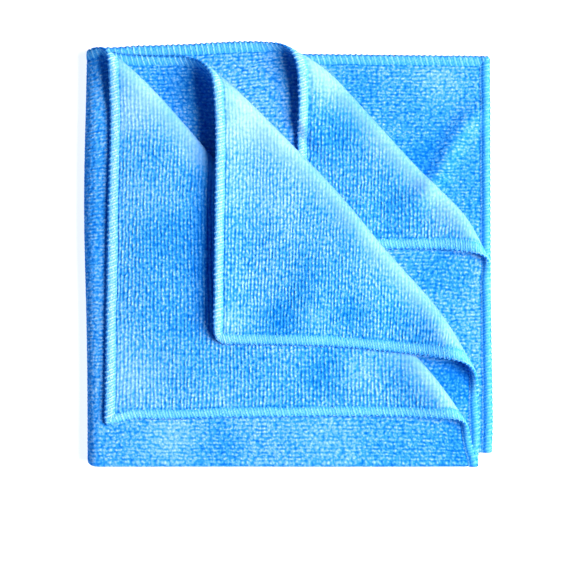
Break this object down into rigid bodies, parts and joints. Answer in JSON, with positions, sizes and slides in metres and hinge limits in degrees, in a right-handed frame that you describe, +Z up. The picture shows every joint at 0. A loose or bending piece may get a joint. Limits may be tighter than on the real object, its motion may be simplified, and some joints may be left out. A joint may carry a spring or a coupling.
{
  "type": "folded microfibre cloth",
  "caption": "Square blue microfibre terry cloth with an overlocked edge, lying folded in quarters with its upper corners turned back on the diagonal.",
  "frame": {"origin": "middle of the bounding box's underside, on the surface that the cloth lies on", "axes": "+Z up, away from the surface; +X to the right, from the left fold to the free edges; +Y from the lower fold to the free upper edges"},
  "size_m": [0.1952, 0.2032, 0.0199],
  "materials": {
    "terry": "soft looped microfibre pile with fine ribs, bright blue, with a smoother overlocked edge of the same colour"
  },
  "bodies": {
    "root": {"cloth": "terry"}
  },
  "joints": []
}
